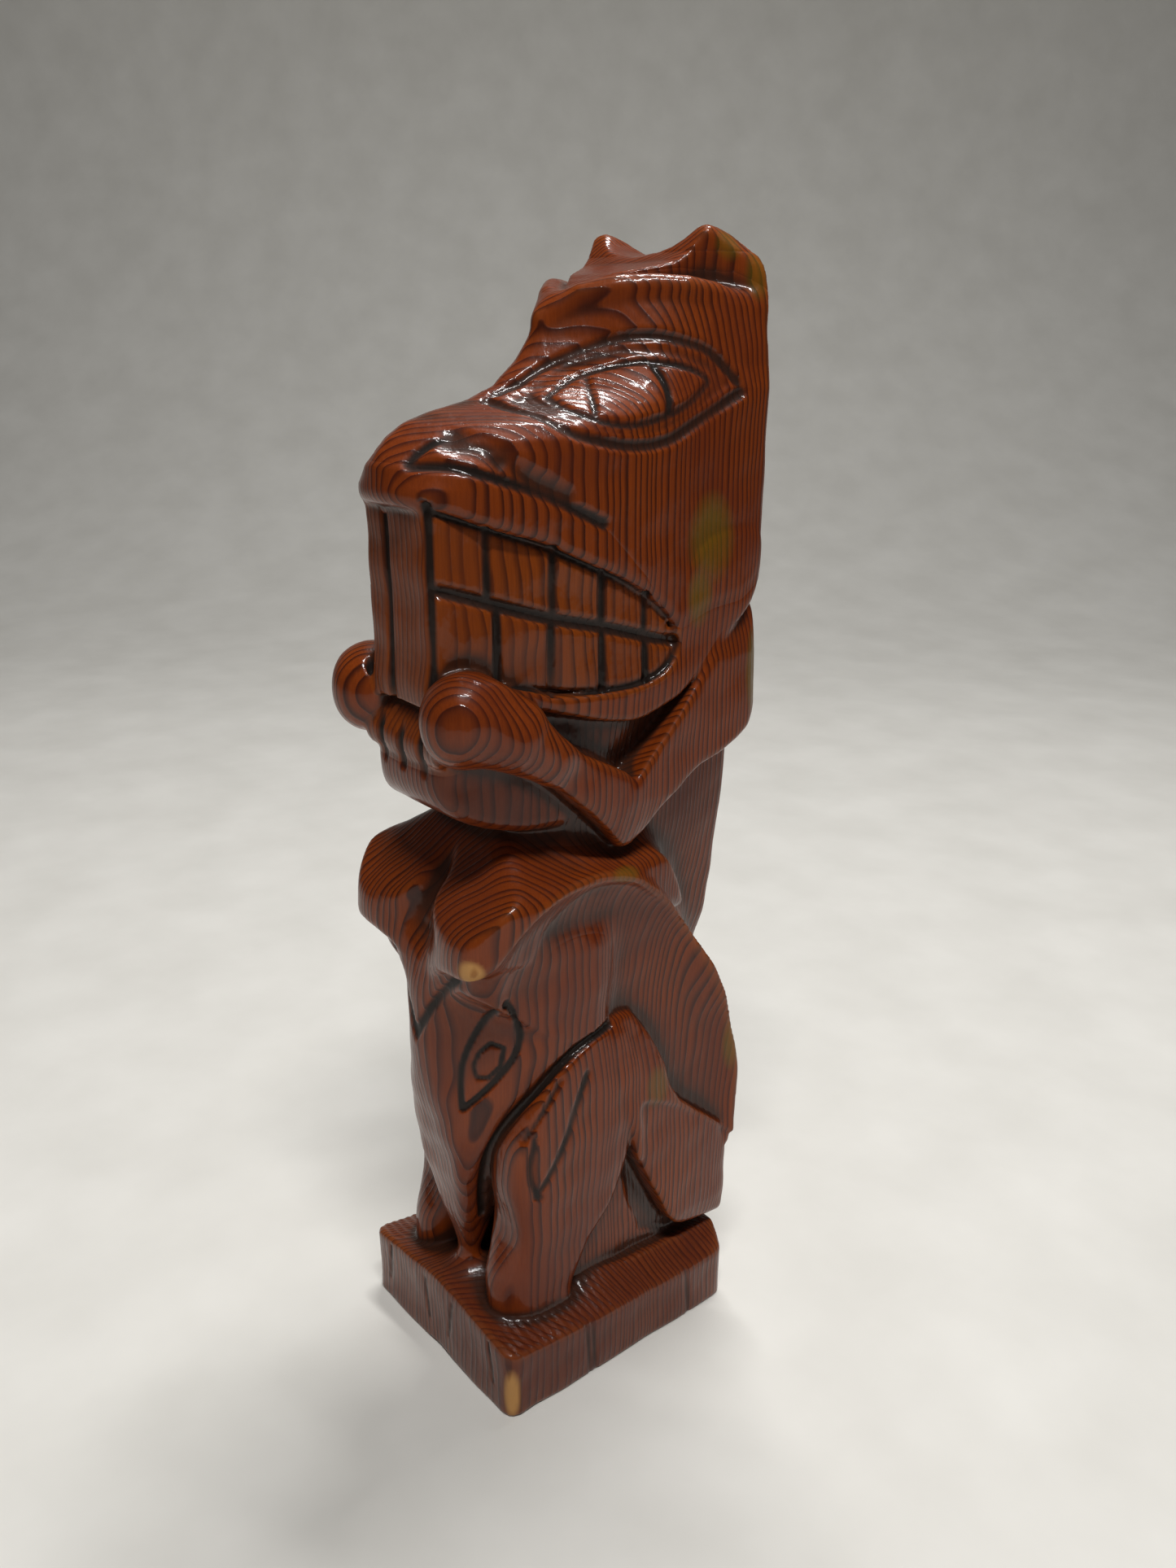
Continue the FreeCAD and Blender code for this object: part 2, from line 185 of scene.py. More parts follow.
# The head's plan outline goes in towards the top. BACK is the end that most levels share.
BACK = [(21.3, 20), (21.6, 27.4), (20.2, 29.2), (-5, 30)]
HEAD_PLAN = [(-5, -32.8), (3, -32.4), (6.5, -31.2), (9.2, -29.6), (11, -27.6), (12.6, -24.6),
             (14.4, -19.5), (17.1, -10), (19.3, 0), (20.6, 10)] + BACK
TEETH_PLAN = [(-5, -29.6), (9.3, -29.4), (9.5, -29.2), (12.4, -20), (15.7, -10), (18, 0),
              (19.5, 10), (20, 20), (-5, 20)]
HEAD_LEVELS = {
    128.0: HEAD_PLAN,
    160.0: HEAD_PLAN,
    163.0: [(-5, -33), (2, -32.4), (4.6, -31), (7.6, -29.2), (10.3, -27), (12.4, -24.2),
            (14.4, -19.4), (17.1, -9.8), (19.3, 0), (20.6, 10)] + BACK,
    165.0: [(-5, -32), (1, -31.4), (4, -29.4), (7.4, -27.2), (10.2, -25.2), (12.6, -22.2),
            (14.6, -17.6), (17.1, -9.4), (19.3, 0), (20.6, 10)] + BACK,
    167.0: [(-5, -30.4), (1, -29.6), (4, -27.4), (7.8, -24.6), (11, -21.6), (13.5, -17.8),
            (15.8, -12.6), (17.8, -5.5), (19.3, 0.5), (20.6, 10)] + BACK,
    169.0: [(-5, -27.6), (0.6, -27), (4, -24), (8, -20.4), (12, -16.2), (14.5, -12.2), (16.8, -6.8),
            (18.8, 0.5), (20.4, 10)] + BACK,
    170.5: [(-5, -23), (0.6, -22.2), (4, -18.8), (8, -15), (12, -10.6), (15, -6.6), (17.4, -1.3),
            (19.3, 5), (20.5, 12)] + BACK,
    172.0: [(-5, -16.4), (0.6, -15.6), (4, -12.6), (8, -9), (12, -5.2), (15, -2.2), (17.4, 2),
            (19.2, 7), (20.3, 13)] + BACK,
    174.0: [(-5, -11), (0.6, -10.2), (4, -7.5), (8, -4.2), (12, -0.8), (15, 2.4), (17.4, 6.2),
            (19.1, 10.6), (20.1, 16), (21, 21), (21.6, 27.4), (20.4, 29), (-5, 30)],
    177.6: [(-5, -7), (0.6, -6.2), (4, -3.5), (8, -0.2), (12, 3.6), (15, 7), (17.2, 10.7),
            (18.7, 15), (19.6, 20), (21, 27), (20.4, 29), (-5, 30)],
    181.0: [(-5, -4.4), (0.6, -3.8), (4, -0.8), (8, 2.6), (12, 6.3), (15, 9.6), (17, 13),
            (18.4, 17), (19.5, 22), (20.8, 27), (20.2, 29), (-5, 30)],
    186.0: [(-5, -2.2), (0.6, -1.6), (4, 1.5), (8, 4.9), (12, 8.6), (14.6, 11.8), (16.6, 15.2),
            (17.8, 19), (18.9, 23), (20.4, 27.4), (19.8, 29), (-5, 30)],
    189.4: [(-5, 0.4), (0.6, 1), (4, 4), (8, 7.3), (12, 11.2), (14.3, 14), (16, 17.2), (17, 20.5),
            (18, 24), (19.4, 27.6), (18.6, 29), (-5, 30)],
}


def base_plinth():
    """The foot of the block. A bevel with the knife's chatter marks runs down to each side."""
    edge = np.interp(Y, [-26.5, -18, -8, 2, 16, 27], [13.4, 12.4, 11.5, 10.9, 10.2, 10.4])
    steepness = np.interp(Y, [-27, -16, -5, 6, 28], [0.1, 0.3, 0.65, 0.95, 1.1])
    base_top = edge + np.minimum((23 - X) * steepness, 4.8)
    base_top = base_top + 0.13 * np.sin(4.1 * Y + np.sin(0.8 * X)) * np.clip((X - 14) / 3, 0, 1)
    base = both(np.abs(Y) - 26.5, X - 23, 3.2)
    base = both(base, Z - base_top, 0.9)
    return both(base, -Z + 0 * X, 0.5)


def torso():
    """The core of the crouching creature, which the legs, wings and mask stand out from."""
    return sawn(
        [(-14, 8), (-14, 96), (-8, 101), (6, 102), (13, 96), (17, 88), (22, 76), (27, 62),
         (29, 50), (29.3, 40), (28.5, 30), (26, 22), (23, 8)],
        [(-6, 8), (16.8, 8), (16, 20), (15, 34), (15.5, 50), (15, 70), (14, 90), (11.5, 102),
         (-6, 104)],
        [(-6, -16), (15, -16), (17, 0), (17, 20), (15, 26), (9, 29.5), (-6, 30)],
        soft=2.5,
    )


# The arched edge that runs from the lobe's tip over the wing and down the back.
RIM = [(-31, 87.4), (-25, 90.4), (-22.6, 92.8), (-18.3, 95.6), (-13.3, 97.5), (-7.5, 98.4),
       (-2.8, 98.2), (2.4, 96.3), (8, 92), (13.1, 86.4), (17.7, 79.7), (22.5, 70.5),
       (26.3, 61.5), (28.8, 52), (29.8, 43.4), (29.2, 34)]


def wing():
    """The flank, scooped out under the rim."""
    hollow = 5.4 * (1 - np.exp(-side_line(RIM) / 6.0))
    shoulder = np.interp(Y, [-30, -5, 20], [20.3, 20.6, 22.3])
    outline = [(-28, 80), (-28.5, 87)] + RIM[1:]
    outline += [(27, 31), (20, 37), (13, 43), (8, 54), (2, 66), (-10, 70)]
    flank = both(side(outline), X - (shoulder - hollow), 0.6)
    from_above = plan([(4, -27), (12, -26.5), (16, -23.5), (19.5, -19), (22.6, 16), (22.8, 27.4),
                       (21.6, 29.2), (18, 29.8), (4, 30)], 1)
    return both(flank, from_above, 1.0)


def lower_mask():
    """The crouching creature's flat face, with the beak that tapers down from it."""
    mask_side = side([(-22, 88), (-26.6, 85), (-29.2, 78), (-29.8, 71), (-29.2, 63), (-27.6, 53),
                      (-25.8, 44), (-24.3, 35.5), (-22.6, 28), (-21, 20), (-20.4, 15),
                      (-18, 15.5), (-14, 30), (-4, 45), (2, 60), (2, 88)])
    mask_front = front([(-5, 13), (0.8, 14), (2.6, 22), (5, 32), (7.6, 42), (11, 52), (15, 60),
                        (17.5, 67), (18.3, 75), (17.5, 89), (-5, 89)])
    mask_plan = plan([(-5, -29.8), (1, -29.5), (4, -28.1), (8, -25), (12, -20.9), (15.4, -15.8),
                      (17.6, -9), (18.5, 0), (-5, 4)])
    return both(both(mask_side, mask_front, 3.0), mask_plan, 2.0)


def leg():
    """Knee, shin and foot."""
    return sawn(
        [(-22.5, 8), (-23.6, 14), (-23.2, 20), (-21, 25.5), (-18.5, 30), (-19.5, 36), (-20.5, 44),
         (-18, 54), (-13, 62), (-7, 67), (-1, 69.8), (3, 67.5), (5.8, 59), (6, 51), (5, 42),
         (3, 33), (-3, 26.8), (-6, 22), (-8.5, 15.5), (-8.5, 8)],
        [(4, 8), (4, 30), (6, 42), (10, 58), (13, 70.5), (17, 70), (19.5, 62), (20, 52),
         (19, 42), (18.2, 30), (18.7, 20), (18.2, 8)],
        [(3, -15), (6, -17.5), (8.4, -21.5), (11, -23.8), (13.4, -23.2), (15.8, -20.8),
         (18.2, -16.5), (19.2, -10), (20.3, 0), (20.5, 10), (3, 10)],
        soft=2.5,
    )


def haunch():
    """Thigh and heel behind the leg."""
    return sawn(
        [(-1, 68.5), (4, 70), (8, 65), (11, 58), (13.4, 49.5), (20, 43.5), (27, 37), (30, 30),
         (30.2, 23), (29.6, 17), (27, 16), (18, 17.6), (14, 20), (9.5, 29), (5.3, 37), (3, 50)],
        [(6, 12), (17.5, 12), (20, 16), (21.4, 24), (21.2, 46), (19.3, 60), (17, 71), (6, 71)],
        [(6, -4), (18, -4), (20.3, 4), (21.6, 18), (21.8, 26.5), (20, 29.4), (6, 30)],
        soft=1.4, rounds=1,
    )


def lobe():
    """A leaf that points forward over the mask, scooped under its rim, with a cleft at x = 0."""
    leaf = sawn(
        [(-23, 79), (-28.5, 82.2), (-30.2, 85.5), (-29.8, 90.6), (-26, 95.4), (-20, 99.8),
         (-13, 103.4), (-5, 105.4), (3, 104), (9, 99), (14, 91), (18.6, 81.5), (17.7, 79.4),
         (13.1, 86), (8, 91.7), (2.4, 96), (-2.8, 96.6), (-8.7, 95.6), (-14.5, 91.5), (-19.5, 83)],
        [(-5, 78.5), (2, 80.2), (6, 82.4), (10, 84.3), (14, 85), (17.8, 85.8), (20.4, 88.6),
         (22.2, 92.5), (21.9, 96), (19.2, 99), (14.8, 100.6), (10, 102.6), (5, 104.8), (-5, 106)],
        [(-5, -24.5), (0, -25), (4, -27.6), (9, -29.9), (14.5, -30.2), (18.4, -28.4),
         (21.2, -24), (22, -17), (21.6, -6), (20.9, 2), (20.2, 9), (19.4, 16), (18, 24), (-5, 26)],
        soft=1.0,
    )
    under_rim = side([(-40, 86)] + RIM + [(29, 20), (-40, 20)])
    hollow = 6.0 * (1 - np.exp(-np.maximum(-under_rim, 0) / 5.0))
    leaf = both(leaf, X - (21.8 - hollow), 0.5)
    cleft = chain([(0, -30, 80), (0, -27.5, 90), (0, -21.5, 99), (0, -16, 104)],
                  [2.6, 3.4, 2.6, 1.0])
    return both(leaf, -cleft, 2.0)


def neck():
    """The column up the back, and the chest between the lobes."""
    chest = sawn(
        [(-24.5, 78), (-25, 88), (-21.8, 97), (-17.5, 104), (-14.5, 110), (0, 110), (12, 99),
         (12, 78)],
        [(-5, 76), (12, 78), (16.5, 90), (15, 98.6), (11, 103.5), (8, 108), (7, 112), (-5, 112)],
        soft=3.0,
    )
    column = sawn(
        [(-16, 112), (-13.5, 105), (-11, 99), (-9, 90), (10, 78), (18, 66), (27, 64), (29.2, 76),
         (29.2, 120), (29.2, 142), (-2, 142)],
        [(-5, 62), (6, 64), (11, 78), (13.2, 90), (14.8, 101), (15, 110), (16, 118), (17.5, 126),
         (18.5, 142), (-5, 142)],
        [(-5, -18), (8, -17), (12.5, -10), (18, 2), (19, 18), (18.6, 25.5), (16.5, 29.2),
         (-5, 29.8)],
        soft=2.0,
    )
    return either(column, chest, 3.0)


def lower_jaw():
    """The chin, and the band of cheek under the teeth."""
    core = sawn(
        [(-29, 127), (-29.2, 119), (-29.8, 116), (-29, 112.6), (-26, 109.2), (-20.5, 106.8),
         (-13, 105.3), (-4, 105.8), (6, 110), (18, 118), (27, 126), (29, 134), (28.6, 146),
         (20, 146), (10, 137.5), (0, 130), (-16, 131)],
        None,
        [(-5, -30), (5, -30), (8.6, -29), (10.8, -26.4), (12.6, -18), (14.3, -8), (15.3, 5),
         (16.5, 20), (16, 28.8), (-5, 29)],
        soft=2.4,
    )
    band = sawn(
        [(-23, 127), (-14.6, 126.3), (-9.6, 124.8), (-1.9, 123.4), (3.8, 122.9), (8.9, 124.9),
         (12.4, 126.4), (18, 131), (22.5, 136), (28.6, 142), (29, 152), (14, 152), (9.7, 138),
         (10.6, 134.5), (9.4, 131.6), (6.7, 129.5), (1.8, 128.4), (-4, 128.2), (-10.5, 128.7),
         (-16.5, 130.4), (-22.5, 131)],
        None,
        HEAD_PLAN,
        soft=1.2,
    )
    return either(core, band, 1.5)


def upper_teeth():
    """All the long teeth, which the bite line divides later."""
    mouth = [(-31, 160), (-31, 127.2), (-24, 127.8), (-22, 129), (-16.5, 130.6), (-10.5, 128.9),
             (-4, 128.4), (1.8, 128.6), (6.7, 129.8), (9.4, 131.9), (10.5, 134.6), (9.7, 137.4),
             (6.4, 141.5), (2.6, 144.2), (-3, 147.4), (-8.4, 149.9), (-13.3, 152), (-20, 154.3),
             (-25.6, 157)]
    return sawn(mouth, None, TEETH_PLAN, soft=0.6, rounds=1)


def small_front_teeth():
    """The row of small teeth under the long front ones."""
    return sawn(
        [(-27, 117.6), (-29.2, 118.4), (-30, 120.6), (-29.6, 123), (-28, 124.9), (-24, 125.2),
         (-24, 117.6)],
        [(-5, 117), (9.6, 117.6), (10.6, 120), (10, 124), (8.6, 126), (-5, 126)],
        soft=1.0, rounds=1,
    )


def skull():
    """The head above the lip, with the crest along its edge and the two pointed ears."""
    above_lip = side([(-25.6, 156.2), (-29, 157.2), (-33.5, 158.2), (-36, 162), (-36, 210),
                      (29.3, 210), (29.3, 160), (28.6, 143), (14, 140), (10.3, 137.4),
                      (6.4, 141.3), (2.6, 144), (-3, 147.2), (-8.4, 149.7), (-13.3, 151.9),
                      (-20, 154)])
    head = both(loft(HEAD_LEVELS), above_lip, 1.8)
    head = both(head, Z - 188.2 - 0.02 * Y, 1.5)
    crest = chain([(0, -1, 184), (4, 3.2, 187.2), (8, 7.2, 188.3), (12, 11.6, 188.7),
                   (14.6, 15.4, 188.6), (15.8, 20, 187.9), (16.4, 24, 186), (16.8, 27, 183)],
                  [1.6, 1.8, 1.8, 1.8, 1.8, 1.8, 1.6, 1.2])
    head = either(head, crest, 1.6)
    crown = sawn(
        [(0, 184), (3, 187.6), (8, 190.4), (13, 191.6), (17, 193), (19.8, 196.7), (21.2, 198.2),
         (23, 197.8), (26, 196.2), (29.3, 192.5), (29.3, 182)],
        [(-5, 182), (19.6, 182), (19.4, 189.5), (18, 193), (15.6, 195.3), (12.7, 198.4),
         (11.5, 198.4), (8.4, 195.4), (4, 194), (-5, 193.6)],
        [(-5, 2), (2, 5), (8, 11), (12, 16), (13.6, 20.5), (17, 24.5), (19.8, 27.6), (19.4, 29.2),
         (-5, 30)],
        soft=0.7, rounds=1,
    )
    return either(head, crown, 1.2)


# Both halves of the arm share their front and plan outlines. The forearm ends in the fist.
ARM_FRONT = [(8, 99), (21.8, 99), (22.2, 142), (8, 142)]
ARM_PLAN = [(6, -34), (13, -33), (16.5, -28), (18.5, -20), (20.5, -11), (21.6, 0), (22, 12),
            (22.2, 22), (21.5, 28), (18, 30), (6, 30)]
FIST = (13.3, -26.4, 126.8)


def upper_arm():
    """From the shoulder down to the elbow."""
    return sawn(
        [(1.2, 100), (-3, 106), (2, 114.2), (9, 121.2), (16, 129.7), (22, 137.4), (25.5, 141.2),
         (28, 141), (29.6, 136.5), (29.6, 123), (28, 119.4), (22.9, 115.8), (14, 112.2),
         (9, 108.2), (5, 103.5)],
        ARM_FRONT, ARM_PLAN, soft=1.2, rounds=1,
    )


def forearm():
    """From the elbow up to the wrist, which swells into the fist."""
    bar = sawn(
        [(1.4, 100), (-3.3, 105.5), (-8.6, 111), (-14.9, 116), (-22, 120), (-27, 122), (-28, 128),
         (-24.1, 133), (-20.8, 131), (-16.7, 126.1), (-12.5, 121.9), (-6.1, 118.1), (2, 114),
         (5, 108)],
        ARM_FRONT, ARM_PLAN, soft=1.6, rounds=1,
    )
    hand_end = chain([FIST, (16.2, -19.5, 124), (17.8, -14, 119.6)], [6.6, 5.8, 4.0])
    return either(bar, both(hand_end, -30 - Y, 0.5), 2.5)


def fist():
    """The closed hand, carved as a plain ball."""
    return ball(FIST, (6.5, 6.8, 7.5))


def make_elements():
    """Every carved element by name, as a signed distance, from the base up."""
    makers = (base_plinth, torso, wing, lower_mask, leg, haunch, lobe, neck, lower_jaw, upper_teeth,
              small_front_teeth, skull, upper_arm, forearm, fist)
    return {maker.__name__: maker() for maker in makers}


# ---------------------------------------------------------------- knife cuts

# Outlines on the side: the eye, the socket around it, and the flat cut behind the leg.
EYE = [(-7.4, 172.4), (-5, 174.1), (-3, 175), (0, 176.3), (3.5, 177.3), (6.3, 177.9), (9.1, 177.7),
       (12.2, 177.3), (15, 176.3), (16.3, 175), (13.2, 172.5), (10.4, 171), (6.2, 169.6),
       (1.7, 168.7), (-2.3, 169.1), (-5.3, 170.2)]
SOCKET = [(-12.4, 172.6), (-8.8, 173.9), (-4.2, 176.9), (-0.6, 178.9), (2.7, 180.3), (5.9, 181.3),
          (9.5, 181.5), (13, 180.7), (16.8, 179.6), (19.3, 177.1), (21.4, 174), (16.9, 171.1),
          (12.4, 168.8), (8, 166.6), (3.9, 165.9), (-0.5, 166), (-4.9, 166.9), (-8.2, 167.8),
          (-10.4, 169.3), (-12, 171)]
THIGH_FACET = [(4.6, 51.2), (9, 50.4), (13.4, 48), (20, 43), (27, 37), (36, 31), (36, 14.5),
               (11, 14.5), (5, 29), (6, 42)]

# Gaps between the teeth on the side, as (y, top, bottom): the upper row, then the lower one.
TOOTH_GAPS = [(-21, 156, 144), (-11.1, 151.5, 140.5), (-3, 147.5, 138.5), (4.75, 143.5, 136),
              (-19.7, 143, 130.5), (-11.3, 140.5, 128.5), (-2.8, 138, 128), (4.95, 136, 128.6)]


def knife_lines():
    """Every knife cut as (points, half width, depth, darkness)."""
    brow = [(1.9, -11.6, 172.8), (2.6, -8.8, 173.9), (4, -4.2, 176.9), (6.2, -0.6, 178.9),
            (8.7, 2.7, 180.3), (11.3, 5.9, 181.3), (14.6, 9.5, 181.5), (17, 13, 180.7),
            (18.6, 16.8, 179.6), (19.6, 19.3, 177.1), (20.7, 21.2, 174.8)]
    under = [(2.7, -13.7, 172), (7.7, -13, 171), (10.9, -11.2, 170.6), (14.7, -10.4, 169.3),
             (16.7, -8.2, 167.8), (17.9, -4.9, 166.9), (19, -0.5, 166), (19.8, 3.9, 165.9),
             (20.3, 8, 166.6), (20.6, 12.4, 168.8), (20.9, 16.9, 171.1), (21.1, 21.6, 173.3)]
    lid = [(8.3, -6.8, 172.8), (8.1, -3, 175), (9.8, 0, 176.3), (12.1, 3.5, 177.3),
           (14.1, 6.3, 177.9), (16.2, 9.1, 177.7), (17.9, 12.2, 177.3), (19.1, 15, 176.3),
           (19.7, 16.1, 175.1)]
    lower_lid = [(8.3, -6.8, 172.8), (12.5, -7, 171.3), (15.8, -5.3, 170.2), (17.9, -2.3, 169.1),
                 (19, 1.7, 168.7), (19.6, 6.2, 169.6), (20.1, 10.4, 171), (20.1, 13.2, 172.5),
                 (19.8, 16, 174.9)]
    nostril = [(5.4, -29.9, 163.7), (5.6, -28.4, 165), (6.6, -25.9, 166.6), (7.7, -23.7, 167.5)]
    channel = [(8.6, -24, 166.9), (10.5, -22.8, 166.2), (11.9, -21.4, 165.6), (13.6, -19.6, 164.4)]
    channel_end = [(11.9, -21.4, 165.6), (13.6, -19.6, 164.4), (14.8, -17, 162.6),
                   (15.9, -13.8, 160.4), (17, -10, 158.6)]
    fold = [(6.1, -29.7, 163.4), (10.1, -26.4, 163.6), (12.5, -23.6, 162.9), (14.1, -20, 161.7),
            (15.4, -16, 160.3), (16.4, -12.4, 158.9), (17.3, -8.9, 157.2), (18.5, -3.8, 154.6)]
    bite = [(9, -29.6, 146.2), (10.9, -24.7, 144.8), (12.9, -18.7, 142.8), (15.3, -11.1, 140.4),
            (17.6, -1.6, 138.3), (19, 6.8, 135.8), (19.5, 10, 135.1)]
    corner = [(8.9, -29, 158), (8.9, -29, 128)]
    gum = [(12.6, -21.5, 129.3), (14, -16.5, 130.4), (15.7, -10.5, 129), (17.4, -4, 128.4),
           (18.7, 1.8, 128.5), (19.5, 6.7, 129.8), (19.9, 9.4, 132), (19.9, 10.4, 134.6)]
    under_lip = [(9.4, -28.5, 157.2), (12.4, -20, 154.2), (15.2, -11.5, 151.1), (17.4, -3, 147.2),
                 (18.8, 3, 143.7), (19.6, 8.3, 139.2)]
    mask_eye = [(15.7, -20.9, 78.3), (13.2, -21.6, 76), (10.7, -22.2, 73.5), (8.6, -24.3, 67.9),
                (7.5, -25.3, 62.3), (7.8, -25, 55.8), (10.2, -22.7, 58.9), (12.9, -19.6, 63.6),
                (14.2, -17.5, 68), (14.3, -17.4, 72.5), (15.7, -20.9, 78.3)]
    pupil = [(10.1, -22.9, 67.1), (11.4, -21.4, 69), (12.8, -19.6, 68.1), (12.4, -20.2, 64.5),
             (11.1, -21.8, 62.2), (9.7, -23.2, 62.1), (9.3, -23.7, 64.3), (10.1, -22.9, 67.1)]
    mask_brow = [(10.2, -27, 82.3), (5.1, -27.6, 76.9), (2, -28.8, 71.8), (-1, -28.9, 66.9)]
    leg_line = [(17.4, -0.4, 67.8), (17.6, -6.4, 66.3), (17, -10.6, 63.9), (15.7, -14.7, 59.3),
                (12, -18.1, 53.2), (9.4, -20.9, 47.2), (6.8, -20.8, 38.8), (4.4, -19.3, 29.6)]
    shin = [(18.2, -11.6, 61.2), (17.8, -15.3, 56), (16.3, -18.3, 50.8)]
    claw = [(18.9, -6.3, 60.9), (18.9, -8.5, 55.6), (18.7, -10.4, 49.6), (18.2, -13.6, 43.1),
            (17.6, -16.8, 39.3)]
    short_claw = [(17.7, -16.8, 50.9), (17.3, -17.8, 46.5), (17.4, -17.4, 41.7),
                  (17.8, -15.9, 38.9)]
    iris_front = [(9.6, -0.5, 176), (12.7, -1.9, 173.1), (16.5, -3.9, 170.2)]
    iris_back = [(15.6, 7.8, 177.3), (17.5, 8.4, 175.1), (18.8, 8.5, 173.2), (19.8, 7.9, 170.3)]
    lines = [
        (brow, 1.1, 1.1, 0.4), (under, 1.2, 1.5, 0.5),
        (lid, 0.85, 1.1, 0.8), (lower_lid, 0.85, 1.1, 0.8),
        (iris_front, 0.7, 0.8, 0.8), (iris_back, 0.8, 0.9, 0.9),
        (nostril, 0.9, 1.0, 0.9), (fold, 1.1, 1.0, 0.7),
        (channel, 2.9, 1.5, 0), (channel_end, 2.3, 0.8, 0),
        (bite, 1.15, 2.0, 1), (corner, 1.1, 1.3, 1),
        (under_lip, 0.8, 0.5, 0.9), (gum, 0.8, 0.4, 0.9),
        (mask_eye[:6], 0.75, 0.8, 1), (mask_eye[5:], 0.75, 0.8, 1), (mask_brow, 1.1, 0.9, 0.9),
        (leg_line, 0.95, 1.3, 1), (shin, 0.7, 0.6, 0.6),
        (claw, 0.8, 0.8, 0.8), (short_claw, 0.85, 0.9, 0.9),
    ]
    lines += [([start, end], 0.6, 0.6, 0.9) for start, end in zip(pupil, pupil[1:])]
    for y, top, bottom in TOOTH_GAPS:
        x = float(np.interp(y, [-29.2, -20, -10, 0, 10], [9.5, 12.6, 15.6, 18, 19.5]))
        lines.append(([(x, y, top), (x, y, bottom)], 0.85, 1.1, 1))
    for x in (0.0, 5.8):  # between the small front teeth
        lines.append(([(x, -29.8, 126), (x, -29.4, 117)], 1.0, 1.2, 0.9))
    for top, bottom in ((-9.3, -8.4), (-7.9, -7.2), (15.6, 16.4)):  # checks in the base's side
        lines.append(([(23, top, 11.5), (23, bottom, 0)], 0.5, 0.45, 0.7))
    for top, bottom in ((4.5, 3.2), (16.4, 17.4)):  # checks in its front
        lines.append(([(top, -26.5, 13), (bottom, -26.5, 5)], 0.5, 0.4, 0.6))
    return lines


def near(line, reach):
    """The block of the grid around a line, and the distance to the line in it."""
    low, high = line.min(0) - reach, line.max(0) + reach
    block = tuple(slice(*np.searchsorted(axis, (a, b)))
                  for axis, a, b in zip((xs, ys, zs), low, high))
    x, y, z = X[block[0]], Y[:, block[1]], Z[:, :, block[2]]
    nearest = np.full(np.broadcast(x, y, z).shape, 1e9, np.float32)
    for a, b in zip(line[:-1], line[1:]):
        d = b - a
        along = ((x - a[0]) * d[0] + (y - a[1]) * d[1] + (z - a[2]) * d[2]) / max(d @ d, 1e-9)
        along = np.clip(along, 0, 1)
        gap = (x - a[0] - along * d[0]) ** 2 + (y - a[1] - along * d[1]) ** 2
        np.minimum(nearest, gap + (z - a[2] - along * d[2]) ** 2, out=nearest)
    return block, np.sqrt(nearest)


SOCKET_DEPTH = 0.55
FACET_DEPTH = 0.55


def carve(surface):
    """The sockets, facets and knife cuts. Returns the surface and how dark each cut is."""
    sunk = np.zeros(surface.shape, np.float32)
    stain = np.zeros(surface.shape, np.float32)
    for points, width, depth, darkness in knife_lines():
        rounds = 0 if len(points) == 2 else 2
        line = softened(points, rounds, closed=False)
        block, gap = near(line, width)
        press = np.clip(1 - gap / width, 0, 1)
        sunk[block] = np.maximum(sunk[block], depth * press**0.8)
        stain[block] = np.maximum(stain[block], darkness * np.minimum(1.5 * press, 1))
    outside = np.clip((X - 3) / 3, 0, 1)
    socket = np.clip(-side(SOCKET) / 1.6, 0, 1) * np.clip(side(EYE) / 1.2, 0, 1)
    thigh = np.clip(-side(THIGH_FACET, 1) / 1.1, 0, 1) * np.clip((X - 11) / 2, 0, 1)
    sunk = np.maximum(sunk, SOCKET_DEPTH * socket * outside)
    return surface + sunk + FACET_DEPTH * thigh, stain


# ---------------------------------------------------------------- meshes


CORNERS = [(i, j, k) for i in (0, 1) for j in (0, 1) for k in (0, 1)]


def skin(field):
    """Surface nets: one vertex in each cell the surface crosses, one quad per crossed edge."""
    inside = field < 0
    full = np.zeros(tuple(n - 1 for n in field.shape), np.uint8)
    for i, j, k in CORNERS:
        full += inside[i:i + full.shape[0], j:j + full.shape[1], k:k + full.shape[2]]
    cells = np.argwhere((full > 0) & (full < 8))
    number = np.full(full.shape, -1, np.int32)
    number[tuple(cells.T)] = np.arange(len(cells))

    values = {c: field[cells[:, 0] + c[0], cells[:, 1] + c[1], cells[:, 2] + c[2]]
              for c in CORNERS}
    total = np.zeros((len(cells), 3))
    count = np.zeros(len(cells))
    for start in CORNERS:
        for axis in range(3):
            if start[axis]:
                continue
            end = tuple(1 if a == axis else start[a] for a in range(3))
            a, b = values[start], values[end]
            crossed = (a < 0) != (b < 0)
            share = np.where(crossed, a / np.where(crossed, a - b, 1), 0)
            spot = np.array(start, float)[None, :] + share[:, None] * np.eye(3)[axis][None, :]
            total += spot * crossed[:, None]
            count += crossed
    verts = cells + total / count[:, None]

    quads = []
    for axis in range(3):
        one, two = (axis + 1) % 3, (axis + 2) % 3
        low, high = [slice(None)] * 3, [slice(None)] * 3
        low[axis], high[axis] = slice(0, -1), slice(1, None)
        for other in (one, two):
            low[other] = high[other] = slice(1, -1)
        a, b = inside[tuple(low)], inside[tuple(high)]
        for leaving in (True, False):
            edges = np.argwhere((a & ~b) if leaving else (~a & b))
            edges[:, [one, two]] += 1
            ring = []
            for di, dj in ((0, 0), (-1, 0), (-1, -1), (0, -1)):
                cell = edges.copy()
                cell[:, one] += di
                cell[:, two] += dj
                ring.append(number[tuple(cell.T)])
            ring = np.stack(ring, 1)
            quads.append(ring if leaving else ring[:, ::-1])
    return verts, np.vstack(quads)


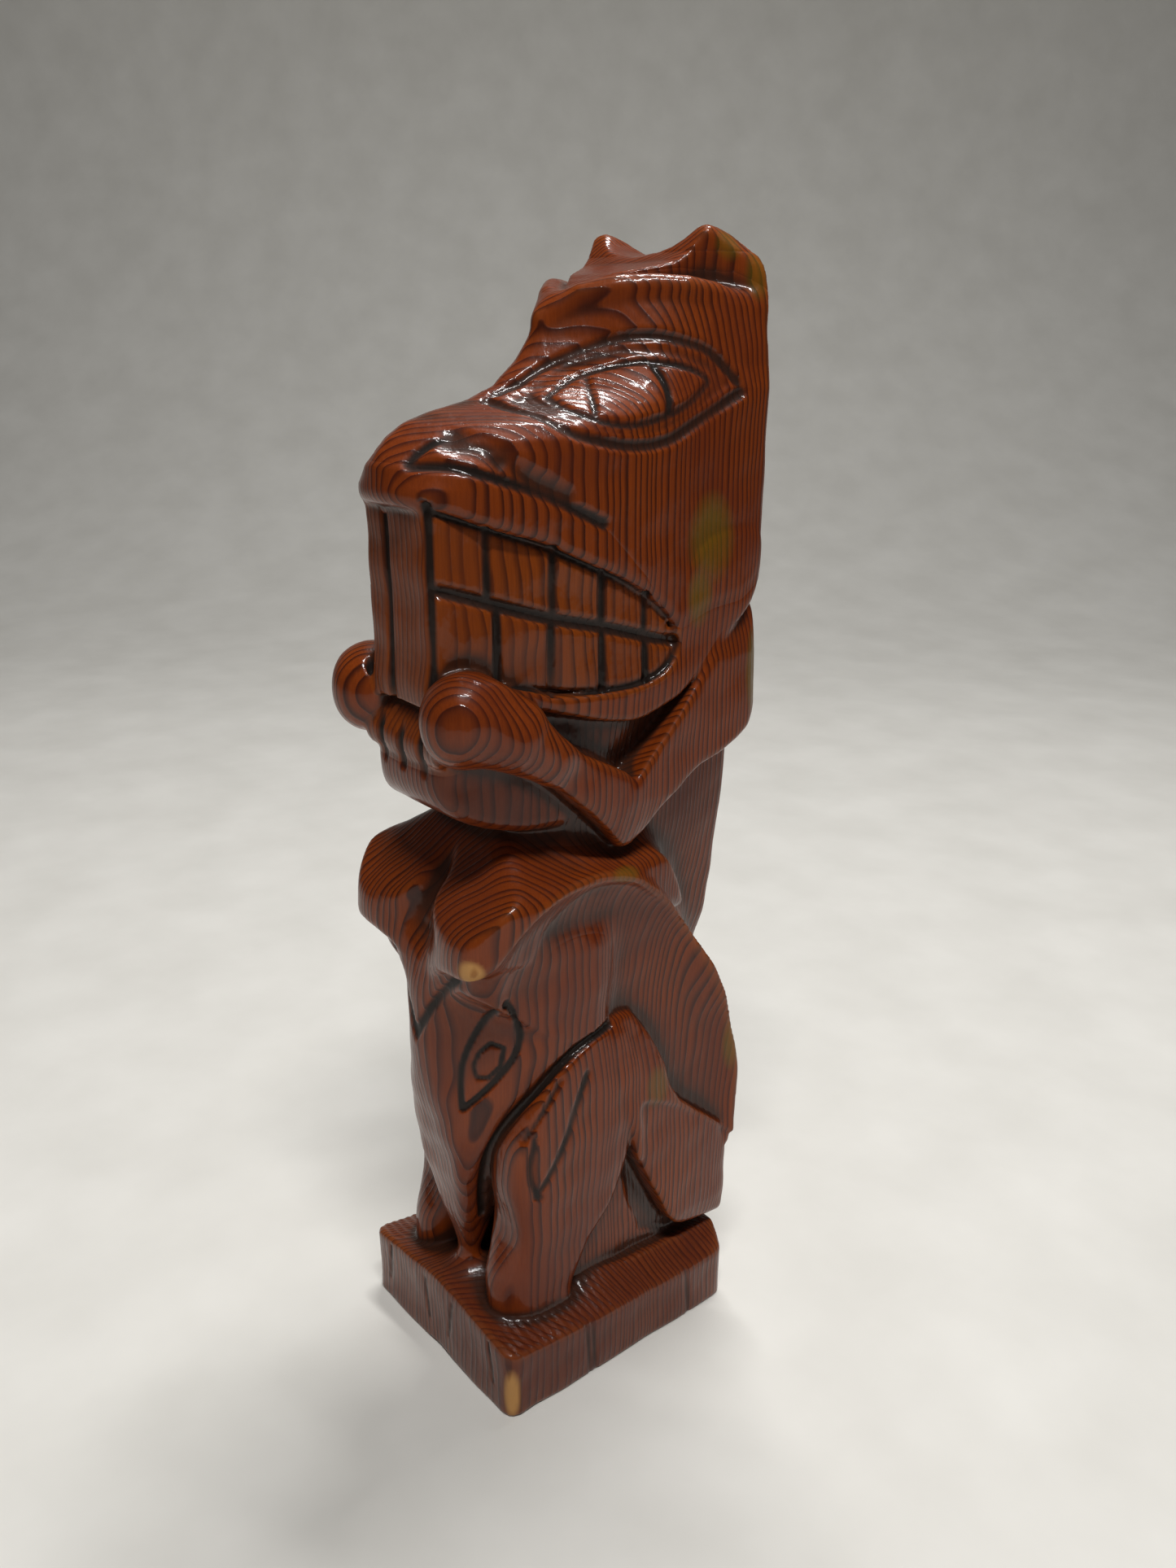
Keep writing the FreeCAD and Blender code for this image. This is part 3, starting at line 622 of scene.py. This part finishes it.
def sample(values, at):
    """Trilinear values of a grid at fractional grid positions."""
    limit = np.array(values.shape) - 1.001
    at = np.clip(at, 0, limit)
    cell = at.astype(int)
    share = at - cell
    total = np.zeros(len(at))
    for corner in CORNERS:
        weight = np.abs(1 - np.array(corner) - share).prod(1)
        total += weight * values[tuple((cell + corner).T)]
    return total


def settle(field, verts, rounds=2):
    """Moves each vertex along the field's slope onto the surface."""
    reach = 0.5
    for _ in range(rounds):
        slope = np.stack([sample(field, verts + reach * axis) - sample(field, verts - reach * axis)
                          for axis in np.eye(3)], 1)
        steep = np.maximum((slope**2).sum(1), 1e-6)
        shift = -(sample(field, verts) / steep)[:, None] * slope
        length = np.maximum(np.linalg.norm(shift, axis=1), 1e-9)
        verts = verts + shift * np.minimum(1, 0.3 / length)[:, None]
    return verts


def smeared(values, reach):
    """The mean of a grid over a box around each point."""
    for axis in range(3):
        pad = [(0, 0)] * 3
        pad[axis] = (reach + 1, reach)
        run = np.cumsum(np.pad(values, pad, mode="edge"), axis=axis, dtype=np.float64)
        size = values.shape[axis]
        upper = np.take(run, range(2 * reach + 1, 2 * reach + 1 + size), axis=axis)
        lower = np.take(run, range(size), axis=axis)
        values = ((upper - lower) / (2 * reach + 1)).astype(np.float32)
    return values


def mirrored(values):
    """The whole width of a grid, from its half with x > 0."""
    return np.concatenate([values[::-1], values], axis=0)


def hand_wobble():
    """Slow, shallow waves that a knife leaves on a surface that looks flat."""
    rng = np.random.default_rng(7)
    waves = np.zeros((len(xs), len(ys), len(zs)), np.float32)
    for length, height in ((23, 0.08), (14, 0.055), (9, 0.03), (6, 0.02)):
        for _ in range(3):
            turn = rng.normal(size=3)
            turn = turn / np.linalg.norm(turn) * 2 * math.pi / length
            waves += height * np.sin(turn[0] * X + turn[1] * Y + turn[2] * Z + rng.uniform(0, 6.3))
    return waves


# On the side, the line that parts the upper lip from the head.
LIP_FOLD = [(-40, 164.4), (-29.7, 163.6), (-26.4, 163.4), (-23.6, 162.7), (-20, 161.5),
            (-16, 160.1), (-12.4, 158.7), (-8.9, 157), (-3.8, 154.4), (4, 146), (10, 137)]


def below(line, reach=60):
    """Signed distance that is negative under a line drawn on the side."""
    return side([(line[0][0], line[0][1] - reach)] + line + [(line[-1][0], line[0][1] - reach)], 0)


# Where elements overlap, the deepest one owns the spot. These stand back a little, and each
# element stands back a little from those made before it.
STANDS_BACK = {"lower_jaw": 1.4, "neck": 0.6}
BACK_PER_PLACE = 0.1

# Where the skull and the teeth are divided further.
SNOUT_END = -9.0  # y
EYE_FROM = 5.0  # x
EAR_FROM = 4.0  # x
EAR_FOOT = 194.0  # z
FRONT_TEETH_HALF = 9.2  # x


def divide(parts):
    """How far each grid point is from belonging to each piece, negative inside the piece."""
    names = list(parts)

    def claim(k):
        return parts[names[k]] + STANDS_BACK.get(names[k], 0.0) + BACK_PER_PLACE * k

    nearest = np.full(parts[names[0]].shape, 1e9, np.float32)
    second = nearest.copy()
    owner = np.zeros(nearest.shape, np.int8)
    for k in range(len(names)):
        value = claim(k)
        ahead = value < nearest
        second = np.where(ahead, nearest, np.minimum(second, value))
        owner[ahead] = k
        nearest = np.where(ahead, value, nearest)
    share = {}
    for k, name in enumerate(names):
        share[name] = 0.5 * np.where(owner == k, nearest - second, claim(k) - nearest)

    whole = share.pop("skull")
    lip = below(LIP_FOLD)
    snout = np.maximum(Y - SNOUT_END + 0 * Z, -lip)
    crown = side([(-8, 186), (2, 188), (8, 190.2), (16, 191.5), (24, 191), (31, 187), (31, 210),
                  (-8, 210)], 0)
    eye = np.maximum(side(EYE), EYE_FROM - X)
    ear = np.maximum(np.maximum(EAR_FOOT - Z, EAR_FROM - X), crown)
    share["upper_lip"] = np.maximum(whole, lip)
    share["snout"] = np.maximum(whole, snout)
    share["ear"] = np.maximum(whole, ear)
    share["crown"] = np.maximum(np.maximum(whole, crown), -ear)
    share["eye"] = np.maximum(whole, eye)
    rest = np.maximum(np.maximum(-lip, -snout), np.maximum(-crown, -eye))
    share["head"] = np.maximum(whole, rest)

    teeth = share["upper_teeth"]
    bite = side([(-30.5, 146.6), (-24.7, 144.8), (-18.7, 142.8), (-11.1, 140.4), (-1.6, 138.3),
                 (6.8, 135.8), (14, 134.2), (14, 120), (-30.5, 120)], 0)
    bite = np.maximum(bite, FRONT_TEETH_HALF - X)
    share["lower_teeth"] = np.maximum(teeth, bite)
    share["upper_teeth"] = np.maximum(teeth, -bite)
    return share


PAIRS = ("wing", "leg", "haunch", "lobe", "upper_arm", "forearm", "fist", "eye", "ear")
REPLACED = {"lower_mask": ("lower_mask", "beak")}
SLOTS = {
    "upper_teeth": "tooth_cedar",
    "lower_teeth": "tooth_cedar",
    "small_front_teeth": "tooth_cedar",
    "base_plinth": "base_cedar",
}


# Spots on the left side as (centre, size): chips that bare the wood on the lobe's tip, the base's
# front corner and the wing's back edge, and olive patches of painted reflection, standing in for
# something olive coloured mirrored in the varnish.
CHIPS = (((17.6, -29.2, 86.8), (2.4, 2.0, 2.0)), ((22.6, -26.1, 5.0), (1.7, 1.7, 4.8)),
         ((21.9, 27.5, 66.0), (1.2, 1.5, 2.6)))
OLIVE_REFLECTION_SPOTS = (((21.2, 16.5, 151), (4, 4.5, 7)), ((21.2, 14.5, 142), (4, 2.6, 5)),
         ((20.2, 9.2, 52.6), (3, 2.6, 4.2)), ((21.2, 0, 97.3), (2, 3, 1.6)),
         ((21.8, 28, 128), (2.5, 2.5, 8)), ((15.8, 23.3, 195.3), (3, 2, 2.6)),
         ((18.5, 26.9, 191), (2, 2, 5)), ((21.6, 27, 57), (2.2, 2, 7)))


def spotted(points, spots, spread):
    """How far each point lies inside one of the spots, from 0 to 1."""
    amount = np.zeros(len(points))
    for centre, size in spots:
        away = (((points - np.array(centre)) / np.array(size)) ** 2).sum(1)
        amount = np.maximum(amount, np.clip(spread - away, 0, 1))
    return amount


def add_piece(name, field, origin, extras):
    """One closed mesh from a field, in metres, with its shading values on the vertices."""
    verts, quads = skin(field)
    verts = settle(field, verts)
    shading = {key: sample(values, verts) for key, values in extras.items()}
    points = origin + verts * STEP
    shading["bare"] = spotted(points, CHIPS, 1.6)
    # Painted reflection: olive patches that stand in for something olive coloured mirrored in the
    # varnish.
    shading["olive_reflection"] = spotted(points, OLIVE_REFLECTION_SPOTS, 1.3)
    mesh = bpy.data.meshes.new(name)
    mesh.from_pydata((points * MM).tolist(), [], quads.tolist())
    for key, values in shading.items():
        layer = mesh.attributes.new(key, "FLOAT", "POINT")
        layer.data.foreach_set("value", values.astype(np.float32))
    mesh.polygons.foreach_set("use_smooth", [True] * len(mesh.polygons))
    piece = bpy.data.objects.new(name, mesh)
    bpy.context.collection.objects.link(piece)
    return piece


def trimmed(field, extras, margin=3):
    """The smallest block of the grid that holds the piece, and where it starts."""
    filled = np.argwhere(field < 0)
    low = np.maximum(filled.min(0) - margin, 0)
    high = np.minimum(filled.max(0) + margin + 1, field.shape)
    block = tuple(slice(a, b) for a, b in zip(low, high))
    return field[block], {key: values[block] for key, values in extras.items()}, low


FRONT_GAP_X = -2.2
FRONT_GAP_Y = -29.1
FRONT_GAP_WIDTH = 1.05
FRONT_GAP_DEPTH = 1.3


def front_tooth_gap():
    """The cut between the two broad front teeth, a little off the centre, from 0 to 1."""
    across = np.concatenate([-xs[::-1], xs])[:, None, None]
    gap = np.hypot(across - FRONT_GAP_X, Y - FRONT_GAP_Y) + 0 * Z
    return np.clip(1 - gap / FRONT_GAP_WIDTH, 0, 1).astype(np.float32)


# How wide the fillet is where an element meets those made before it. The rest have 0.9.
FILLET = {"lower_mask": 4.5, "neck": 4.0, "lobe": 1.6}


def joined(parts):
    """One surface around every element, with soft fillets where the carving flows on."""
    surface = None
    for name, shape in parts.items():
        if surface is None:
            surface = shape
        else:
            surface = either(surface, shape, FILLET.get(name, 0.9))
    return surface


CREASE_REACH = 1.6
VALLEY_REACH = 4.5


def sculpt():
    """All pieces of the carving, as objects by name."""
    parts = make_elements()
    surface = joined(parts) + hand_wobble()
    surface, stain = carve(surface)
    # hollow is negative in creases and hollows and positive on edges. The material paints shade and
    # pooled stain into the hollows from it.
    hollow = smeared(surface, round(CREASE_REACH / STEP)) - surface
    valley = smeared(surface, round(VALLEY_REACH / STEP)) - surface
    hollow = hollow + 0.45 * np.minimum(valley + 0.3, 0)
    share = divide(parts)
    pieces = {}
    for name, inside in share.items():
        lapped = surface + SEAM_DIP * np.maximum(inside, 0)
        field = np.maximum(lapped, inside - SEAM_LAP).astype(np.float32)
        extras = {"stain": stain, "hollow": hollow}
        if name in PAIRS:
            wall = np.full((1, *field.shape[1:]), STEP, np.float32)
            field = np.concatenate([wall, field])
            extras = {key: np.concatenate([v[:1], v]) for key, v in extras.items()}
            start = -STEP / 2
        else:
            field = mirrored(field)
            extras = {key: mirrored(values) for key, values in extras.items()}
            start = -xs[-1]
            if name == "upper_teeth":
                cut = FRONT_GAP_DEPTH * front_tooth_gap()
                field = field + cut
                extras["stain"] = np.maximum(extras["stain"], cut)
        field, extras, low = trimmed(field, extras)
        origin = np.array([start, ys[0], zs[0]]) + low * STEP
        if name in PAIRS:
            left = add_piece("left_" + name, field, origin, extras)
            pieces["left_" + name] = left
            pieces["right_" + name] = mirror_piece(left, "right_" + name)
        else:
            pieces[name] = add_piece(name, field, origin, extras)
    return pieces


def mirror_piece(left, name):
    """The same mesh on the other side, with no bare chips and no painted reflection."""
    mesh = left.data.copy()
    mesh.name = name
    spots = np.empty(len(mesh.vertices) * 3, np.float32)
    mesh.vertices.foreach_get("co", spots)
    spots[0::3] *= -1
    mesh.vertices.foreach_set("co", spots)
    mesh.flip_normals()
    for key in ("bare", "olive_reflection"):
        mesh.attributes[key].data.foreach_set("value", np.zeros(len(mesh.vertices), np.float32))
    piece = bpy.data.objects.new(name, mesh)
    bpy.context.collection.objects.link(piece)
    return piece


# ---------------------------------------------------------------- materials


class Nodes:
    """Short calls for building one node tree."""

    def __init__(self, name):
        self.material = bpy.data.materials.new(name)
        self.material.use_nodes = True
        self.tree = self.material.node_tree
        self.tree.nodes.clear()

    def add(self, kind, inputs=None, **settings):
        node = self.tree.nodes.new(kind)
        for key, value in settings.items():
            setattr(node, key, value)
        for key, value in (inputs or {}).items():
            socket = node.inputs[key]
            if isinstance(value, bpy.types.NodeSocket):
                self.tree.links.new(value, socket)
            else:
                socket.default_value = value
        return node

    def math(self, operation, a, b=0.0, clamp=False):
        return self.add("ShaderNodeMath", {0: a, 1: b}, operation=operation,
                        use_clamp=clamp).outputs[0]

    def vector(self, operation, a, b):
        """Vector arithmetic. SCALE takes one number for b, the others three."""
        slot = 3 if operation == "SCALE" else 1
        return self.add("ShaderNodeVectorMath", {0: a, slot: b}, operation=operation).outputs[0]

    def attribute(self, name):
        return self.add("ShaderNodeAttribute", attribute_name=name).outputs["Fac"]

    def mix(self, share, a, b, blend="MIX"):
        return self.add("ShaderNodeMix", {0: share, 6: a, 7: b}, data_type="RGBA",
                        blend_type=blend).outputs[2]

    def ramp(self, value, stops):
        node = self.add("ShaderNodeValToRGB", {0: value})
        steps = node.color_ramp.elements
        while len(steps) < len(stops):
            steps.new(0.5)
        for step, (place, colour) in zip(steps, stops):
            step.position = place
            step.color = colour
        return node.outputs[0]

    def noise(self, vector, scale, detail=2.0, roughness=0.5):
        return self.add("ShaderNodeTexNoise",
                        {"Vector": vector, "Scale": scale, "Detail": detail,
                         "Roughness": roughness}).outputs[0]


def grey(value):
    return (value, value, value, 1)


PITH = (58.0, -69.0, 0.0)  # the tree's centre line, in millimetres from the block's middle


def stained_wood(name, early, late, tone):
    """Varnished softwood with growth rings that run through the whole block."""
    n = Nodes(name)
    where = n.add("ShaderNodeTexCoord").outputs["Object"]
    block = n.vector("SCALE", where, 1000.0)  # millimetres
    drift_at = n.vector("MULTIPLY", block, (0.035, 0.035, 0.009))
    drift = n.add("ShaderNodeTexNoise", {"Vector": drift_at, "Scale": 1.0,
                                         "Detail": 2.0}).outputs[1]
    drift = n.vector("SCALE", n.vector("SUBTRACT", drift, (0.5, 0.5, 0.5)), 7.0)
    to_pith = n.vector("SUBTRACT", n.vector("ADD", block, drift), PITH)
    flat = n.vector("MULTIPLY", to_pith, (1, 1, 0))
    radius = n.add("ShaderNodeVectorMath", {0: flat}, operation="LENGTH").outputs["Value"]
    squared = n.math("MULTIPLY", n.math("MULTIPLY", radius, radius), 0.0042)
    rings = n.math("ADD", n.math("MULTIPLY", radius, 0.34), squared)
    uneven_at = n.add("ShaderNodeCombineXYZ", {0: n.math("MULTIPLY", radius, 0.22)}).outputs[0]
    uneven = n.math("MULTIPLY", n.noise(uneven_at, 1.0, 2.0), 3.0)
    season = n.math("FRACT", n.math("ADD", rings, uneven))

    fibre = n.noise(n.vector("MULTIPLY", block, (3.2, 3.2, 0.09)), 1.0, 3.0, 0.6)
    late_share = n.ramp(season, [(0.0, grey(0.75)), (0.06, grey(0.05)), (0.5, grey(0.12)),
                                 (0.82, grey(0.75)), (0.95, grey(1.0)), (1.0, grey(0.85))])
    colour = n.mix(late_share, early, late)
    colour = n.mix(0.55, colour, n.ramp(fibre, [(0.3, grey(0.55)), (0.7, grey(1.0))]), "MULTIPLY")
    patch = n.noise(n.vector("MULTIPLY", block, (0.05, 0.05, 0.03)), 1.0, 3.0, 0.6)
    colour = n.mix(n.ramp(patch, [(0.35, grey(0.0)), (0.75, grey(0.75))]), colour, tone)

    # Painted reflection: olive colour mixed into those patches, standing in for a reflection in the
    # varnish.
    spread = n.math("MULTIPLY", n.attribute("olive_reflection"),
                    n.ramp(patch, [(0.3, grey(0.35)), (0.6, grey(1.0))]))
    colour = n.mix(n.math("MULTIPLY", spread, 0.55), colour, (0.14, 0.105, 0.006, 1))

    hollow, stain, bare = n.attribute("hollow"), n.attribute("stain"), n.attribute("bare")
    # Painted shade: creases and hollows darken towards near black. This stands in for the shade
    # that falls in them, together with the stain that pools there.
    recess_shade_and_stain = n.math("MULTIPLY", hollow, -3.0, clamp=True)
    colour = n.mix(n.math("MULTIPLY", recess_shade_and_stain, 0.85), colour, (0.030, 0.013, 0.008, 1))
    cut_dark = n.ramp(stain, [(0.12, grey(0.0)), (0.5, grey(0.97))])
    colour = n.mix(cut_dark, colour, (0.012, 0.007, 0.005, 1))
    worn = n.math("MULTIPLY", n.math("SUBTRACT", hollow, 0.22), 2.2, clamp=True)
    colour = n.mix(n.math("MULTIPLY", worn, 0.25), colour, (0.38, 0.11, 0.02, 1))
    raw = n.mix(late_share, (0.52, 0.27, 0.09, 1), (0.33, 0.14, 0.04, 1))
    colour = n.mix(bare, colour, raw)

    lumps = n.noise(n.vector("MULTIPLY", block, (0.55, 0.55, 0.3)), 1.0, 2.0)
    nibs = n.add("ShaderNodeTexVoronoi", {"Vector": block, "Scale": 0.42}).outputs["Distance"]
    nibs = n.ramp(nibs, [(0.0, grey(1.0)), (0.16, grey(0.0))])
    facing = n.add("ShaderNodeNewGeometry").outputs["Normal"]
    upward = n.add("ShaderNodeSeparateXYZ", {0: facing}).outputs[2]
    nibs = n.math("MULTIPLY", nibs, n.math("SUBTRACT", upward, 0.25, clamp=True))
    relief = n.math("ADD", n.math("MULTIPLY", late_share, 0.035), n.math("MULTIPLY", lumps, 0.10))
    relief = n.math("ADD", relief, n.math("MULTIPLY", fibre, 0.02))
    relief = n.math("ADD", relief, n.math("MULTIPLY", nibs, 0.05))
    bump = n.add("ShaderNodeBump", {"Strength": 1.0, "Distance": 0.001,
                                    "Height": relief}).outputs[0]

    gloss = n.ramp(lumps, [(0.3, grey(0.10)), (0.75, grey(0.24))])
    gloss = n.mix(cut_dark, gloss, grey(0.5))
    rough = n.add("ShaderNodeSeparateColor", {0: gloss}).outputs[0]
    coat = n.math("SUBTRACT", 0.55, n.math("MAXIMUM", n.math("MULTIPLY", bare, 0.45),
                                           n.math("MULTIPLY", stain, 0.3)), clamp=True)
    shader = n.add("ShaderNodeBsdfPrincipled", {
        "Base Color": colour, "Roughness": n.math("ADD", rough, 0.22),
        "Specular IOR Level": 0.12, "Normal": bump, "Coat Weight": coat,
        "Coat Roughness": 0.08, "Coat IOR": 1.45, "Coat Normal": bump,
    })
    n.add("ShaderNodeOutputMaterial", {"Surface": shader.outputs[0]})
    return n.material


def floor_cloth():
    """A plain pale table top."""
    n = Nodes("pale_floor")
    where = n.add("ShaderNodeTexCoord").outputs["Object"]
    tint = n.ramp(n.noise(where, 30.0, 4.0), [(0.3, (0.68, 0.66, 0.61, 1)),
                                              (0.7, (0.75, 0.73, 0.68, 1))])
    shader = n.add("ShaderNodeBsdfPrincipled", {"Base Color": tint, "Roughness": 0.9})
    n.add("ShaderNodeOutputMaterial", {"Surface": shader.outputs[0]})
    return n.material


# ---------------------------------------------------------------- stage, lights and camera


# The camera looks from here, turned from +Y towards -X, then down, then rolled.
CAMERA_PLACE = (0.1641, -0.1272, 0.1787)
AZIMUTH = math.radians(50.34)
PITCH = math.radians(18.92)
ROLL = math.radians(0.5)
LENS = 28.77

FLOOR_REACH = 0.55
SWEEP_RADIUS = 0.5
BACKDROP_TOP = 2.2
BACKDROP_HALF = 2.2


def add_stage():
    """A floor that sweeps up into a backdrop behind the figure, seen from the camera."""
    verts, faces = [], []
    profile = [(-FLOOR_REACH, 0.0), (FLOOR_REACH, 0.0)]
    for k in range(1, 13):
        turn = k / 12 * math.pi / 2
        profile.append((FLOOR_REACH + SWEEP_RADIUS * math.sin(turn),
                        SWEEP_RADIUS * (1 - math.cos(turn))))
    profile.append((FLOOR_REACH + SWEEP_RADIUS, BACKDROP_TOP))
    for along, up in profile:
        for across in (-BACKDROP_HALF, BACKDROP_HALF):
            x = -math.sin(AZIMUTH) * along + math.cos(AZIMUTH) * across
            y = math.cos(AZIMUTH) * along + math.sin(AZIMUTH) * across
            verts.append((x, y, up))
    for k in range(len(profile) - 1):
        faces.append((2 * k, 2 * k + 1, 2 * k + 3, 2 * k + 2))
    mesh = bpy.data.meshes.new("floor")
    mesh.from_pydata(verts, [], faces)
    mesh.polygons.foreach_set("use_smooth", [True] * len(faces))
    mesh.materials.append(floor_cloth())
    floor = bpy.data.objects.new("floor", mesh)
    bpy.context.collection.objects.link(floor)


def add_light(name, place, target, size, power, colour=(1, 1, 1), mirrored_in_varnish=True):
    """A rectangular light aimed at a point."""
    data = bpy.data.lights.new(name, "AREA")
    data.shape = "RECTANGLE"
    data.size, data.size_y = size
    data.energy = power
    data.color = colour
    lamp = bpy.data.objects.new(name, data)
    lamp.location = place
    aim = np.array(target, float) - np.array(place, float)
    aim = aim / np.linalg.norm(aim)
    yaw = math.atan2(aim[1], aim[0]) - math.pi / 2
    lamp.rotation_euler = (math.acos(-aim[2]), 0, yaw)
    lamp.visible_glossy = mirrored_in_varnish
    bpy.context.collection.objects.link(lamp)


def add_camera():
    """The photo's camera, on the figure's left and a little above it."""
    ahead = Vector((-math.sin(AZIMUTH) * math.cos(PITCH), math.cos(AZIMUTH) * math.cos(PITCH),
                    -math.sin(PITCH)))
    level = Vector((math.cos(AZIMUTH), math.sin(AZIMUTH), 0))
    rise = level.cross(ahead)
    right = level * math.cos(ROLL) + rise * math.sin(ROLL)
    up = -level * math.sin(ROLL) + rise * math.cos(ROLL)
    data = bpy.data.cameras.new("camera")
    data.lens = LENS
    data.sensor_width = 36
    camera = bpy.data.objects.new("camera", data)
    frame_of = Matrix((right, up, -ahead)).transposed().to_4x4()
    camera.matrix_world = Matrix.Translation(CAMERA_PLACE) @ frame_of
    bpy.context.collection.objects.link(camera)
    bpy.context.scene.camera = camera


# The colours of early wood, late wood and the large patches of darker tone.
WOODS = {
    "varnished_cedar": ((0.26, 0.046, 0.004, 1), (0.036, 0.007, 0.0025, 1),
                        (0.10, 0.016, 0.006, 1)),
    "tooth_cedar": ((0.25, 0.050, 0.004, 1), (0.07, 0.015, 0.004, 1), (0.17, 0.032, 0.006, 1)),
    "base_cedar": ((0.20, 0.042, 0.009, 1), (0.045, 0.010, 0.005, 1), (0.09, 0.017, 0.009, 1)),
}
FIGURE_MIDDLE = (0, 0, 0.12)


def main():
    """Builds the figure's pieces, then the floor, the lights and the camera."""
    woods = {name: stained_wood(name, *colours) for name, colours in WOODS.items()}
    for name, piece in sculpt().items():
        plain = name.replace("left_", "").replace("right_", "")
        finish = SLOTS.get(plain, "varnished_cedar")
        piece.data.materials.append(woods[finish])
        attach(piece, "root")
        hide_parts(*REPLACED.get(name, (name,)))

    add_stage()
    add_light("overhead_back", (-0.10, 0.20, 0.80), FIGURE_MIDDLE, (0.30, 0.04), 3.9)
    add_light("overhead_front", (0.30, -0.18, 0.85), FIGURE_MIDDLE, (0.30, 0.04), 4.6)
    add_light("room_fill", (0.9, -0.9, 0.7), (0, 0, 0.10), (1.0, 1.0), 1.0, (1.0, 0.97, 0.93),
              mirrored_in_varnish=False)
    world = bpy.data.worlds.new("room")
    world.use_nodes = True
    world.node_tree.nodes["Background"].inputs[0].default_value = (0.85, 0.88, 0.95, 1)
    world.node_tree.nodes["Background"].inputs[1].default_value = 0.045
    bpy.context.scene.world = world
    bpy.context.scene.view_settings.view_transform = "Standard"
    add_camera()


main()
